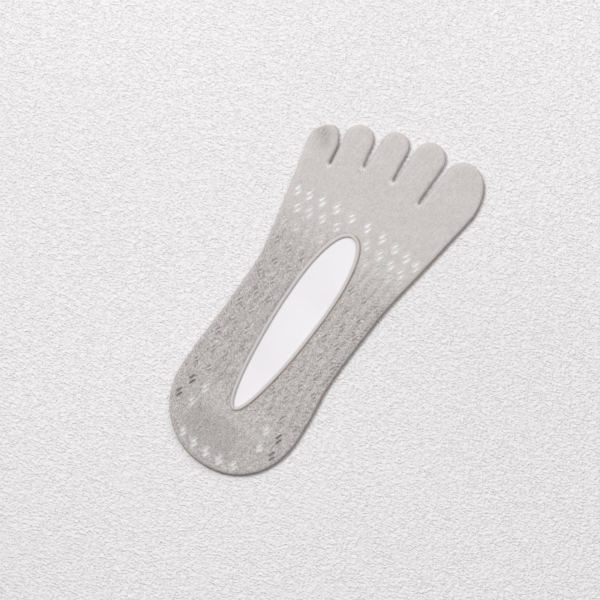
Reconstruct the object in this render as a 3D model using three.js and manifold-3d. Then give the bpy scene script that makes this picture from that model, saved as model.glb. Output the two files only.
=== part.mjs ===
// A low-cut five-toe sock for the left foot, lying flat on the foot-shaped card inside it.
// Millimetres, +Z up, +Y towards the toes, +X towards the big toe. The sole lies on z = 0.
// The knit is one hollow shell: a body and five toe pockets, each made as a rounded slab from
// four edge curves, with a smaller slab cut out of it. The mouth and the eyelets are cut through.

import * as THREE from "three";
import { mergeVertices } from "three/addons/utils/BufferGeometryUtils.js";
import Module from "manifold-3d";

const wasm = await Module();
wasm.setup();

// Driving dimensions: the sock as it lies flat
const sockLength = 220;
const heelWidth = 76.5;
const heelDepth = 39.9; // from the back of the heel to its widest line
const waistWidth = 72.5;
const ballWidth = 94;
const toeGap = 1.5; // between two toe pockets, at their crotch
const knitWall = 1;
const rimReach = 3; // how far in from the outline the rounded rim reaches
const ribPitch = 5.5;
const ribHeight = 0.45;
const toeCrown = 0.4; // how much a toe pocket is domed

// The card inside
const cardThickness = 1.8;
const cardClearance = 0.4; // under the card and round its edge
const panelSlack = 0.5; // between the card and the upper wall

// The mouth and its edging. Length and width are the clear opening inside the edging.
const mouthLength = 113;
const mouthWidth = 22.4;
const mouthSetback = 36; // from the back of the heel to the back tip of the mouth
const edgingWidth = 2.2;
const edgingStand = 0.5; // how far the edging stands above the upper wall
const edgingClearance = 0.3;

// The grip pad under the upper wall of the heel
const gripLength = 31.6;
const gripWidth = 17;
const gripThickness = 0.4;
const gripSetback = 11.3; // from the back of the heel to the pad
const gripCorner = 3;
const gripClearance = 0.25;
const gripShift = -6; // of its middle from the foot's axis, towards the little-toe side

// The eyelets, in pairs of parallel slits
const slitLength = 3.6;
const slitWidth = 0.85;
const slitLean = 21; // degrees, to the right of the foot's axis
const pairAcross = 1.7; // from one slit of a pair to the other
const pairAlong = 2.4;
const columnPitch = 8.4;
const rowPitch = 9.9;
const eyeletInset = 5; // from the outline to the nearest eyelet

// Heights that follow from the sizes above
const flatHeight = 2 * knitWall + cardClearance + cardThickness + panelSlack;
const cardBottom = knitWall + cardClearance;
const cardTop = cardBottom + cardThickness;
const gripBottom = cardTop + gripClearance;
const gripPocketTop = gripBottom + gripThickness + gripClearance;
const gripBulge = Math.max(0, gripPocketTop + knitWall - flatHeight);

// The mouth's outline is two half superellipses, a blunt one in front and a long one behind
const mouthShape = { widest: 0.643, frontRoundness: 2.2, backRoundness: 1.95, across: -0.0365 };

// The two side edges, in front of the heel's widest line. along is a share of the way from that
// line to the tip of the big toe. little and big are the distances from the foot's axis to the
// little-toe side and the big-toe side, as shares of width.
const sideStations = [
  { along: 0, width: heelWidth, little: 0.52, big: 0.48 },
  { along: 0.091, width: heelWidth, little: 0.52, big: 0.466 },
  { along: 0.178, width: waistWidth, little: 0.537, big: 0.464 },
  { along: 0.278, width: waistWidth, little: 0.535, big: 0.463 },
  { along: 0.398, width: waistWidth, little: 0.537, big: 0.475 },
  { along: 0.489, width: ballWidth, little: 0.446, big: 0.379 },
  { along: 0.581, width: ballWidth, little: 0.484, big: 0.404 },
  { along: 0.658, width: ballWidth, little: 0.519, big: 0.427 },
  { along: 0.725, width: ballWidth, little: 0.548, big: 0.441 },
  { along: 0.78, width: ballWidth, little: 0.555, big: 0.447 },
];
const heelRoundness = { "-1": 2, 1: 2.15 }; // of the back of the heel, on either side

// The ends of the crotches between the toes, from the little toe to the big toe, and the two front
// corners of the body, which lie hidden in the outer toes. Shares of ballWidth and sockLength.
const frontStations = [
  { across: -0.54, along: 0.765 },
  { across: -0.386, along: 0.8 },
  { across: -0.211, along: 0.842 },
  { across: -0.023, along: 0.855 },
  { across: 0.176, along: 0.845 },
  { across: 0.44, along: 0.8 },
];

// The toe pockets, from the little toe to the big toe. The tip is at across and along, and lean is
// degrees towards the little-toe side. The halves are the widths either side of the tip, as shares
// of ballWidth, and the domes are how far back the round end starts there, as shares of sockLength.
// sink is how much lower the empty tip lies, as a share of the height, and cardBack is how far
// short of the tip the card ends, as a share of sockLength.
const toes = [
  {
    across: -0.489, along: 0.885, lean: 12, roundness: 2, sink: 0.25, cardBack: 0.034,
    littleHalf: 0.117, bigHalf: 0.06, littleDome: 0.05, bigDome: 0.048,
  },
  {
    across: -0.334, along: 0.9273, lean: 10, roundness: 2.05, sink: 0, cardBack: 0,
    littleHalf: 0.093, bigHalf: 0.078, littleDome: 0.033, bigDome: 0.038,
  },
  {
    across: -0.132, along: 0.9636, lean: 5, roundness: 2.1, sink: 0, cardBack: 0,
    littleHalf: 0.09, bigHalf: 0.0765, littleDome: 0.035, bigDome: 0.038,
  },
  {
    across: 0.073, along: 0.992, lean: -1.5, roundness: 2.1, sink: 0, cardBack: 0,
    littleHalf: 0.088, bigHalf: 0.099, littleDome: 0.042, bigDome: 0.038,
  },
  {
    across: 0.316, along: 1, lean: -4, roundness: 2.1, sink: 0, cardBack: 0,
    littleHalf: 0.107, bigHalf: 0.183, littleDome: 0.05, bigDome: 0.11,
  },
];
const heelCornerAngle = 55; // degrees either side of the back, where its curve meets the side edges
const toeRootShare = 0.055; // how far behind the crotch a toe pocket starts, of sockLength
const outerRootAlong = 0.705; // where the outer toes leave the side edges, of sockLength
const toeRootBow = 3; // the hidden root of a toe pocket bows back by this much
const rootSink = 0.3; // how far the hidden root of a toe lies under the body's surface
const rootInset = 0.6; // and how far inside the body's edge

// The rows of eyelets across the ball of the foot. The heights at the little-toe side, the middle
// and the big-toe side are shares of sockLength, and shift is in column pitches.
const ballRows = [
  { little: 0.696, middle: 0.7205, big: 0.708, count: 10, shift: 0 },
  { little: 0.656, middle: 0.683, big: 0.668, count: 9, shift: 0.5 },
  { little: 0.612, middle: 0.64, big: 0.65, count: 10, shift: 0 },
];
const ballColumns = 10;
const ballFirst = 0.04; // where the first column is, as a share of the width
const ballSpread = 0.03; // how much the stretch of the knit draws the columns away from the middle
const eyeletKeep = 3; // between the edging and the nearest eyelet
const nearlyClosed = 0.7; // the size of the single slits along the sides
// The row at the back of the heel. endRise is how far its two ends lie in front of its middle, in
// millimetres, as the row bends with the heel.
const heelRow = { count: 5, along: 0.032, endRise: 2.2 };

// How far past the grip its bulge is full and gone, in millimetres
const bulgeReach = { full: 3, none: 9 };
// Where the ribs of the side walls start and end, as shares of sockLength, and how far outside the
// edging they fade in, in millimetres
const ribReach = { start: 0.2, full: 0.3, fade: 0.58, end: 0.68 };
const ribMouthFade = { none: 0.5, full: 3 };
// Along a toe pocket from its root, where it has risen out of the body, where its dome starts to
// fall, and where an empty tip starts to sink and has sunk
const toeReach = { risen: 0.45, domed: 0.75, sinks: 0.77, sunk: 0.94 };

// Levels of a rounded rim, in degrees from the middle of its height
const outerLevels = [-90, -45, 0, 45, 90];
const innerLevels = [-90, -40, 40, 90];
// Columns across and rows along the body and each toe pocket. Outside, a column is half a rib.
const ribColumns = 2 * Math.round((waistWidth - 2 * rimReach) / ribPitch);
const outerGrid = { columns: ribColumns, rows: 28, toeColumns: 10, toeRows: 5 };
const innerGrid = { columns: 8, rows: 18, toeColumns: 6, toeRows: 4 };
const mouthSteps = 48;
const edgingSteps = 8; // round the section of the edging
const gripCornerSteps = 3;
const cutMargin = 1; // how far above the knit the cuts start
const weldDistance = 1e-4; // points closer than this are one
const shortestEdge = 0.12; // cutting leaves shorter ones, which are closed
const thinnestFace = 0.02; // and thinner ones, which are swapped

const degrees = Math.PI / 180;

// Smooth interpolation of values at rising positions
function smoothValue(positions, values, at) {
  const last = positions.length - 1;
  let i = 0;
  while (i < last - 1 && at > positions[i + 1]) i += 1;
  const slope = (k) => {
    const from = Math.max(k - 1, 0);
    const to = Math.min(k + 1, last);
    return (values[to] - values[from]) / (positions[to] - positions[from]);
  };
  const span = positions[i + 1] - positions[i];
  const t = Math.min(Math.max((at - positions[i]) / span, 0), 1);
  const rise = values[i + 1] - values[i];
  const start = slope(i) * span;
  const end = slope(i + 1) * span;
  return values[i] + t * start + t * t * (3 * rise - 2 * start - end) + t * t * t * (start + end - 2 * rise);
}

function smoothStep(from, to, at) {
  const t = Math.min(Math.max((at - from) / (to - from), 0), 1);
  return t * t * (3 - 2 * t);
}

// The side of the foot at a distance from the back of the heel. side is -1 or 1 for little or big.
const stationPlaces = sideStations.map((row) => heelDepth + row.along * (sockLength - heelDepth));
const stationReach = {
  "-1": sideStations.map((row) => -row.little * row.width),
  1: sideStations.map((row) => row.big * row.width),
};
const heelCentre = (stationReach[-1][0] + stationReach[1][0]) / 2;

function sideEdge(along, side) {
  if (along >= heelDepth) return smoothValue(stationPlaces, stationReach[side], along);
  const power = heelRoundness[side];
  return heelCentre + side * (heelWidth / 2) * (1 - (1 - along / heelDepth) ** power) ** (1 / power);
}

// The four edge curves of a slab: back, front, little-toe side and big-toe side
function bodyEdges(columns, rows) {
  const back = [];
  for (let i = 0; i <= columns; i += 1) {
    const across = Math.sin(heelCornerAngle * degrees * ((2 * i) / columns - 1));
    const power = heelRoundness[across < 0 ? -1 : 1];
    const fall = (1 - Math.abs(across) ** power) ** (1 / power);
    back.push(new THREE.Vector2(heelCentre + (heelWidth / 2) * across, heelDepth * (1 - fall)));
  }
  const ends = frontStations.map((row) => new THREE.Vector2(row.across * ballWidth, row.along * sockLength));
  const front = new THREE.SplineCurve(ends).getPoints(columns);
  const side = (sign, start, end) => {
    const edge = [];
    for (let j = 0; j <= rows; j += 1) {
      const along = THREE.MathUtils.lerp(start.y, end.y, j / rows);
      edge.push(new THREE.Vector2(sideEdge(along, sign), along));
    }
    edge[0].copy(start);
    edge[rows].copy(end);
    return edge;
  };
  return { back, front, little: side(-1, back[0], front[0]), big: side(1, back[columns], front[columns]) };
}

// Where the crotch between toe i - 1 and toe i ends. The outermost two are on the side edges.
function crotch(i) {
  if (i > 0 && i < toes.length) {
    const row = frontStations[i];
    return new THREE.Vector2(row.across * ballWidth, row.along * sockLength);
  }
  const side = i === 0 ? -1 : 1;
  const along = outerRootAlong * sockLength;
  return new THREE.Vector2(sideEdge(along, side) - side * rootInset, along);
}

function toeEdges(i, columns, rows, cardBack = 0) {
  const toe = toes[i];
  const axis = new THREE.Vector2(-Math.sin(toe.lean * degrees), Math.cos(toe.lean * degrees));
  const across = new THREE.Vector2(axis.y, -axis.x);
  const tip = new THREE.Vector2(toe.across * ballWidth, toe.along * sockLength);
  tip.addScaledVector(axis, -cardBack * sockLength);
  const domePoint = (angle) => {
    const big = angle > 0;
    const half = (big ? toe.bigHalf : toe.littleHalf) * ballWidth;
    const depth = ((big ? toe.bigDome : toe.littleDome) - cardBack) * sockLength;
    const power = 2 / toe.roundness;
    const out = Math.sign(angle) * half * Math.abs(Math.sin(angle)) ** power;
    const fall = depth * (1 - Math.abs(Math.cos(angle)) ** power);
    return tip.clone().addScaledVector(across, out).addScaledVector(axis, -fall);
  };
  const front = [];
  for (let c = 0; c <= columns; c += 1) {
    front.push(domePoint((Math.PI / 2) * ((2 * c) / columns - 1)));
  }
  const side = (sign, shoulder) => {
    const outermost = sign < 0 ? i === 0 : i === toes.length - 1;
    const root = crotch(sign < 0 ? i : i + 1);
    if (!outermost) root.x -= (sign * toeGap) / 2;
    const edge = outermost ? [] : [root.clone().addScaledVector(axis, -toeRootShare * sockLength)];
    const steps = rows - edge.length;
    for (let j = 0; j <= steps; j += 1) edge.push(root.clone().lerp(shoulder, j / steps));
    return edge;
  };
  const little = side(-1, front[0]);
  const big = side(1, front[columns]);
  const back = front.map((point, c) => {
    const s = c / columns;
    return little[0].clone().lerp(big[0], s).addScaledVector(axis, -4 * s * (1 - s) * toeRootBow);
  });
  return { back, front, little, big };
}

// The closed outline of a slab, anticlockwise from the back corner on the little-toe side
function outlineOf(edges) {
  return [
    ...edges.back.slice(0, -1),
    ...edges.big.slice(0, -1),
    ...edges.front.slice().reverse().slice(0, -1),
    ...edges.little.slice().reverse().slice(0, -1),
  ];
}

// An outline moved inward by an even distance, or outward by a negative one
function insetOutline(outline, distance) {
  const count = outline.length;
  return outline.map((point, i) => {
    const before = point.clone().sub(outline[(i + count - 1) % count]).normalize();
    const after = outline[(i + 1) % count].clone().sub(point).normalize();
    const inward = new THREE.Vector2(-before.y - after.y, before.x + after.x);
    inward.divideScalar(1 + before.dot(after));
    return point.clone().addScaledVector(inward, distance);
  });
}

function closedGeometry(positions, index) {
  const geometry = new THREE.BufferGeometry();
  geometry.setAttribute("position", new THREE.Float32BufferAttribute(positions, 3));
  geometry.setIndex(index);
  return geometry;
}

// A slab with a rounded rim over four edge curves. The rim starts at inset, reaches in by reach,
// and runs from bottom to top. relief(s, t, x, y) is what the upper face stands above top, with s
// across from the little-toe side and t along from the back. There is an even number of columns.
function slab(edges, { inset, reach, bottom, top, levels, relief = () => 0 }) {
  const columns = edges.back.length - 1;
  const rows = edges.little.length - 1;
  const outline = outlineOf(edges);
  const count = outline.length;
  const loopIndex = (c, r) => {
    if (r === 0) return c;
    if (c === columns) return columns + r;
    if (r === rows) return columns + rows + columns - c;
    return (2 * columns + 2 * rows - r) % count;
  };
  const share = new Map();
  for (let r = 0; r <= rows; r += 1) {
    for (let c = 0; c <= columns; c += 1) {
      const onLoop = r === 0 || r === rows || c === 0 || c === columns;
      if (onLoop) share.set(loopIndex(c, r), [c / columns, r / rows]);
    }
  }
  const positions = [];
  const index = [];
  const middle = (bottom + top) / 2;
  let ring = [];
  levels.forEach((level, k) => {
    const angle = level * degrees;
    ring = insetOutline(outline, inset + reach * (1 - Math.cos(angle)));
    const height = middle + (top - middle) * Math.sin(angle);
    const lift = Math.max(0, Math.sin(angle));
    ring.forEach((point, i) => {
      const [s, t] = share.get(i);
      positions.push(point.x, point.y, height + lift * relief(s, t, point.x, point.y));
      if (k === levels.length - 1) return;
      const next = (i + 1) % count;
      const low = k * count;
      const high = low + count;
      index.push(low + i, low + next, high + next, low + i, high + next, high + i);
    });
  });
  // The flat underside is a ladder of rungs from the little-toe side to the big-toe side
  const half = columns + rows;
  for (let i = 0; i < half; i += 1) {
    const [left, leftNext] = [columns / 2 - i, columns / 2 - i - 1].map((k) => (k + count) % count);
    const [right, rightNext] = [columns / 2 + i, columns / 2 + i + 1];
    if (i < half - 1) index.push(left, leftNext, rightNext);
    if (i > 0) index.push(left, rightNext, right);
  }
  const topStart = (levels.length - 1) * count;
  const at = (c, r) => ring[loopIndex(c, r)];
  const inner = new Map();
  for (let r = 1; r < rows; r += 1) {
    for (let c = 1; c < columns; c += 1) {
      const s = c / columns;
      const t = r / rows;
      const patch = (axis) =>
        (1 - t) * at(c, 0)[axis] + t * at(c, rows)[axis]
        + (1 - s) * at(0, r)[axis] + s * at(columns, r)[axis]
        - (1 - s) * (1 - t) * at(0, 0)[axis] - s * (1 - t) * at(columns, 0)[axis]
        - (1 - s) * t * at(0, rows)[axis] - s * t * at(columns, rows)[axis];
      const x = patch("x");
      const y = patch("y");
      inner.set(r * columns + c, positions.length / 3);
      positions.push(x, y, top + relief(s, t, x, y));
    }
  }
  const vertex = (c, r) => {
    const onLoop = r === 0 || r === rows || c === 0 || c === columns;
    return onLoop ? topStart + loopIndex(c, r) : inner.get(r * columns + c);
  };
  for (let r = 0; r < rows; r += 1) {
    for (let c = 0; c < columns; c += 1) {
      const [a, b, d, e] = [vertex(c, r), vertex(c + 1, r), vertex(c, r + 1), vertex(c + 1, r + 1)];
      index.push(a, b, e, a, e, d);
    }
  }
  return closedGeometry(positions, index);
}

// Booleans on closed geometries
function toSolid(geometry) {
  const bare = geometry.clone();
  bare.deleteAttribute("normal");
  bare.deleteAttribute("uv");
  const merged = mergeVertices(bare, weldDistance);
  const mesh = new wasm.Mesh({
    numProp: 3,
    vertProperties: new Float32Array(merged.attributes.position.array),
    triVerts: new Uint32Array(merged.index.array),
  });
  return new wasm.Manifold(mesh);
}

// Cuts that nearly touch a corner leave edges far shorter than any feature. Each of these is drawn
// to its lower end, where that keeps the surface closed and turns no face over.
function withoutShortEdges(positions, index) {
  const point = (v) => new THREE.Vector3().fromArray(positions, 3 * v);
  const normal = (corners) => {
    const [a, b, c] = corners.map(point);
    return b.sub(a).cross(c.sub(a));
  };
  let triangles = [];
  for (let i = 0; i < index.length; i += 3) triangles.push([index[i], index[i + 1], index[i + 2]]);
  for (let drawn = 1; drawn > 0;) {
    drawn = 0;
    const faces = new Map();
    triangles.forEach((corners) => corners.forEach((v) => faces.set(v, [...(faces.get(v) ?? []), corners])));
    const around = (v) => new Set(faces.get(v).flat().filter((other) => other !== v));
    const moved = new Map();
    const busy = new Set();
    for (const corners of triangles) {
      for (let k = 0; k < 3; k += 1) {
        const ends = [corners[k], corners[(k + 1) % 3]];
        if (point(ends[0]).distanceTo(point(ends[1])) > shortestEdge || ends.some((v) => busy.has(v))) continue;
        const [keep, gone] = ends.sort((a, b) => positions[3 * a + 2] - positions[3 * b + 2] || a - b);
        const shared = [...around(keep)].filter((v) => around(gone).has(v));
        const turned = faces.get(gone).some((face) => {
          if (face.includes(keep)) return false;
          const after = normal(face.map((v) => (v === gone ? keep : v)));
          return after.length() > shortestEdge ** 2 && after.dot(normal(face)) < 0;
        });
        if (shared.length !== 2 || turned) continue;
        moved.set(gone, keep);
        [keep, gone, ...around(keep), ...around(gone)].forEach((v) => busy.add(v));
        drawn += 1;
      }
    }
    triangles = triangles
      .map((corners) => corners.map((v) => moved.get(v) ?? v))
      .filter(([a, b, c]) => a !== b && b !== c && c !== a);
  }
  return triangles;
}

// A face whose corners lie nearly in line is swapped, with the face across its longest edge, for
// the two that the other diagonal gives, where those are less thin
function withoutThinFaces(positions, triangles) {
  const point = (v) => new THREE.Vector3().fromArray(positions, 3 * v);
  const edgesOf = (corners) => corners.map((v, k) => point(v).distanceTo(point(corners[(k + 1) % 3])));
  const height = (corners) => {
    const [a, b, c] = corners.map(point);
    return b.sub(a).cross(c.sub(a)).length() / Math.max(...edgesOf(corners));
  };
  for (let swapped = 1; swapped > 0;) {
    swapped = 0;
    const faceOf = new Map();
    triangles.forEach((corners, i) => {
      corners.forEach((v, k) => faceOf.set(`${v},${corners[(k + 1) % 3]}`, i));
    });
    const busy = new Set();
    triangles.forEach((corners, i) => {
      const thin = height(corners);
      if (thin > thinnestFace) return;
      const lengths = edgesOf(corners);
      const k = lengths.indexOf(Math.max(...lengths));
      const [a, c, m] = [corners[k], corners[(k + 1) % 3], corners[(k + 2) % 3]];
      const j = faceOf.get(`${c},${a}`);
      const d = triangles[j].find((v) => v !== a && v !== c);
      const pair = [[a, d, m], [d, c, m]];
      if (busy.has(i) || busy.has(j) || faceOf.has(`${m},${d}`) || faceOf.has(`${d},${m}`)) return;
      if (Math.min(...pair.map(height)) <= Math.min(thin, height(triangles[j]))) return;
      [triangles[i], triangles[j]] = pair;
      faceOf.set(`${d},${m}`, i).set(`${m},${d}`, j);
      busy.add(i).add(j);
      swapped += 1;
    });
  }
  return triangles;
}

// Two rounds, because a swap can leave an edge that closes better
function toGeometry(solid) {
  const { vertProperties, triVerts } = solid.getMesh();
  let index = triVerts;
  for (let round = 0; round < 2; round += 1) {
    index = withoutThinFaces(vertProperties, withoutShortEdges(vertProperties, index)).flat();
  }
  return closedGeometry(vertProperties, index);
}

function joined(geometries) {
  return geometries.map(toSolid).reduce((whole, piece) => whole.add(piece));
}

// The clear opening inside the edging, as an anticlockwise outline
function mouthOutline(steps) {
  const backReach = mouthLength * mouthShape.widest;
  const frontReach = mouthLength - backReach;
  const centre = new THREE.Vector2(mouthShape.across * waistWidth, mouthSetback + backReach);
  const points = [];
  for (let i = 0; i < steps; i += 1) {
    const angle = (2 * Math.PI * i) / steps;
    const [x, y] = [Math.cos(angle), Math.sin(angle)];
    const power = 2 / (y > 0 ? mouthShape.frontRoundness : mouthShape.backRoundness);
    const reach = y > 0 ? frontReach : backReach;
    const out = Math.sign(x) * Math.abs(x) ** power * (mouthWidth / 2);
    const along = Math.sign(y) * Math.abs(y) ** power * reach;
    points.push(new THREE.Vector2(centre.x + out, centre.y + along));
  }
  return points;
}

const mouthClear = mouthOutline(mouthSteps);

function prism(outline, bottom, top) {
  const depth = top - bottom;
  const geometry = new THREE.ExtrudeGeometry(new THREE.Shape(outline), { depth, bevelEnabled: false });
  return geometry.translate(0, 0, bottom);
}

// How far a point lies outside the mouth, across the foot
function besideMouth(x, y) {
  const along = THREE.MathUtils.clamp((y - mouthSetback) / mouthLength, 0, 1);
  const back = along < mouthShape.widest;
  const reach = back ? mouthShape.widest : 1 - mouthShape.widest;
  const power = back ? mouthShape.backRoundness : mouthShape.frontRoundness;
  const half = (mouthWidth / 2) * (1 - (Math.abs(along - mouthShape.widest) / reach) ** power) ** (1 / power);
  return Math.abs(x - mouthShape.across * waistWidth) - half;
}

// Grip pad: a rectangle with round corners behind the mouth
function gripOutline(grow) {
  const halfX = gripLength / 2 + grow;
  const halfY = gripWidth / 2 + grow;
  const radius = gripCorner + grow;
  const centreY = gripSetback + gripWidth / 2;
  const points = [];
  [[1, 1], [-1, 1], [-1, -1], [1, -1]].forEach(([signX, signY], corner) => {
    for (let i = 0; i <= gripCornerSteps; i += 1) {
      const angle = (Math.PI / 2) * (corner + i / gripCornerSteps);
      points.push(new THREE.Vector2(
        gripShift + signX * (halfX - radius) + radius * Math.cos(angle),
        centreY + signY * (halfY - radius) + radius * Math.sin(angle),
      ));
    }
  });
  return points;
}

// What the upper wall stands above its flat height: the bulge over the grip, and the ribs
function bodyRelief(s, t, x, y) {
  const overX = Math.abs(x - gripShift) - gripLength / 2;
  const overY = Math.abs(y - gripSetback - gripWidth / 2) - gripWidth / 2;
  const bulge = gripBulge * (1 - smoothStep(bulgeReach.full, bulgeReach.none, Math.max(overX, overY)));
  const crest = Math.round(s * ribColumns) % 2;
  const along = y / sockLength;
  const started = smoothStep(ribReach.start, ribReach.full, along);
  const ended = smoothStep(ribReach.fade, ribReach.end, along);
  const clear = smoothStep(ribMouthFade.none, ribMouthFade.full, besideMouth(x, y) - edgingWidth);
  return bulge + ribHeight * crest * started * (1 - ended) * clear;
}

// A toe pocket starts under the body's surface, rises out of it and is domed across
function toeRelief(toe) {
  return (s, t) => {
    const across = 4 * s * (1 - s);
    const risen = smoothStep(0, toeReach.risen, t);
    const domed = risen * (1 - smoothStep(toeReach.domed, 1, t));
    const sunk = toe.sink * flatHeight * smoothStep(toeReach.sinks, toeReach.sunk, t);
    return toeCrown * across * domed - sunk * across - rootSink * (1 - risen);
  };
}

// The rim of a toe pocket is no wider than its tip's own radius
function toeRim(toe) {
  const little = (toe.littleHalf * ballWidth) ** 2 / (toe.littleDome * sockLength);
  const big = (toe.bigHalf * ballWidth) ** 2 / (toe.bigDome * sockLength);
  return Math.min(rimReach, little, big);
}

// The outside and the inside of the knit and the card are all made from the same edge curves. part
// says how far inset, how much of the rim the wall takes up, and whether it has ribs or is flat.
function bodyAndToes(part) {
  const { grid, inset, wall, bottom, top, levels } = part;
  const shape = { inset, bottom, top, levels };
  const body = slab(bodyEdges(grid.columns, grid.rows), {
    ...shape, reach: rimReach - wall, relief: part.ribs ? bodyRelief : undefined,
  });
  const pockets = toes.map((toe, i) => {
    const edges = toeEdges(i, grid.toeColumns, grid.toeRows, part.flat ? toe.cardBack : 0);
    const relief = part.flat ? undefined : toeRelief(toe);
    return slab(edges, { ...shape, reach: toeRim(toe) - wall, relief });
  });
  return joined([body, ...pockets]);
}

// Eyelets: each is a pair of slits, or a single one where the knit has nearly closed it
function slitOutline(centre, share) {
  const long = (slitLength * share) / 2;
  const wide = (slitWidth * share) / 2;
  const leftSide = [[0, long], [-wide, long / 2], [-wide, -long / 2]];
  const corners = [...leftSide, ...leftSide.map(([x, y]) => [-x, -y])];
  const turn = -slitLean * degrees;
  return corners.map(([x, y]) => new THREE.Vector2(
    centre.x + x * Math.cos(turn) - y * Math.sin(turn),
    centre.y + x * Math.sin(turn) + y * Math.cos(turn),
  ));
}

function eyeletPair(x, y) {
  return [-0.5, 0.5].map((side) => ({ x: x + side * pairAcross, y: y - side * pairAlong, share: 1 }));
}

// Is an eyelet here clear of the edging
function clearOfMouth(x, y) {
  const pastFront = y - mouthSetback - mouthLength;
  return Math.max(pastFront, besideMouth(x, y)) > edgingWidth + eyeletKeep;
}

function ballEyelets() {
  const slits = [];
  ballRows.forEach((row) => {
    const bend = 2 * (row.little - 2 * row.middle + row.big);
    for (let i = 0; i < row.count; i += 1) {
      const even = (i + 0.5 + row.shift) / ballColumns;
      const s = even - ballSpread * Math.sin(2 * Math.PI * even);
      const along = sockLength * (row.little + s * (row.big - row.little - bend) + s * s * bend);
      const low = sideEdge(along, -1) + eyeletInset;
      const high = sideEdge(along, 1) - eyeletInset;
      const x = THREE.MathUtils.lerp(low, high, (s - ballFirst) / (1 - 2 * ballFirst));
      if (clearOfMouth(x, along)) slits.push(...eyeletPair(x, along));
    }
  });
  return slits;
}

function sideEyelets() {
  const slits = [];
  const first = ballRows[2].little * sockLength - rowPitch;
  const rows = Math.floor((first - heelDepth / 2) / rowPitch) + 1;
  for (let row = 0; row < rows; row += 1) {
    const along = first - row * rowPitch;
    const inHeel = along < heelDepth + rowPitch / 2;
    for (const side of [-1, 1]) {
      for (const column of [0, 1]) {
        const inset = eyeletInset + (column + (row % 2) / 2) * columnPitch;
        const x = sideEdge(along, side) - side * inset;
        if (inHeel) slits.push(...eyeletPair(x, along));
        else if (clearOfMouth(x, along)) slits.push({ x, y: along, share: nearlyClosed });
      }
    }
  }
  return slits;
}

function heelEyelets() {
  const slits = [];
  const last = (heelRow.count - 1) / 2;
  for (let i = -last; i <= last; i += 1) {
    const along = heelRow.along * sockLength + heelRow.endRise * (i / last) ** 2;
    slits.push(...eyeletPair(heelCentre + i * columnPitch, along));
  }
  return slits;
}

function sockKnit() {
  const outer = bodyAndToes({
    grid: outerGrid, inset: 0, wall: 0, bottom: 0, top: flatHeight, levels: outerLevels, ribs: true,
  });
  const inner = bodyAndToes({
    grid: innerGrid, inset: knitWall, wall: knitWall, bottom: knitWall, top: flatHeight - knitWall,
    levels: innerLevels,
  });
  const above = flatHeight + gripBulge + ribHeight + cutMargin;
  const panelUnder = (cardTop + flatHeight - knitWall) / 2;
  const mouth = prism(insetOutline(mouthClear, -edgingWidth - edgingClearance), panelUnder, above);
  const slits = [...ballEyelets(), ...sideEyelets(), ...heelEyelets()]
    .map((slit) => prism(slitOutline(slit, slit.share), panelUnder, above));
  const pocket = prism(gripOutline(gripClearance), panelUnder, gripPocketTop);
  return toGeometry(outer.subtract(inner).subtract(joined([mouth, pocket, ...slits])));
}

// The edging: a closed roll with an oval section
function mouthBand() {
  const low = cardTop + cardClearance;
  const high = flatHeight + edgingStand;
  const rings = [];
  for (let k = 0; k < edgingSteps; k += 1) {
    const angle = (2 * Math.PI * k) / edgingSteps;
    const out = (edgingWidth / 2) * (1 + Math.cos(angle));
    const height = (low + high) / 2 + ((high - low) / 2) * Math.sin(angle);
    rings.push({ outline: insetOutline(mouthClear, -out), height });
  }
  const positions = rings.flatMap((ring) => ring.outline.flatMap((point) => [point.x, point.y, ring.height]));
  const index = [];
  for (let k = 0; k < edgingSteps; k += 1) {
    for (let i = 0; i < mouthSteps; i += 1) {
      const next = (i + 1) % mouthSteps;
      const here = k * mouthSteps;
      const up = ((k + 1) % edgingSteps) * mouthSteps;
      index.push(here + i, here + next, up + next, here + i, up + next, up + i);
    }
  }
  return closedGeometry(positions, index);
}

function footCard() {
  return toGeometry(bodyAndToes({
    grid: innerGrid, inset: knitWall + cardClearance, wall: knitWall, bottom: cardBottom, top: cardTop,
    levels: innerLevels, flat: true,
  }));
}

function heelGrip() {
  return prism(gripOutline(0), gripBottom, gripBottom + gripThickness);
}

function named(name, geometry, color, roughness) {
  const mesh = new THREE.Mesh(geometry, new THREE.MeshStandardMaterial({ color, roughness, metalness: 0 }));
  mesh.name = name;
  return mesh;
}

const group = new THREE.Group();
group.add(
  named("sock_knit", sockKnit(), 0xc6c1bf, 0.95),
  named("mouth_band", mouthBand(), 0xdddad6, 0.9),
  named("heel_grip", heelGrip(), 0xb5b0ae, 0.6),
  named("foot_card", footCard(), 0xf0eef0, 0.55),
);

// The origin is under the middle of the sock's box
const box = new THREE.Box3().setFromObject(group);
group.position.set(-(box.min.x + box.max.x) / 2, -(box.min.y + box.max.y) / 2, -box.min.z);

export default group;
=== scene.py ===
"""A low-cut toe sock lying flat on the foot-shaped card inside it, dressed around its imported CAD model.

Mesh code works in millimetres, in the sock's own axes: x across the foot from its axis, positive
towards the big toe, y from the back of the heel towards the toes, and z up. place() moves it into
the frame, in metres. The outlines follow the same named sizes as the CAD source.
"""

import math

import bpy
import numpy as np
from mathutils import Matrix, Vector
from mathutils.geometry import delaunay_2d_cdt


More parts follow.
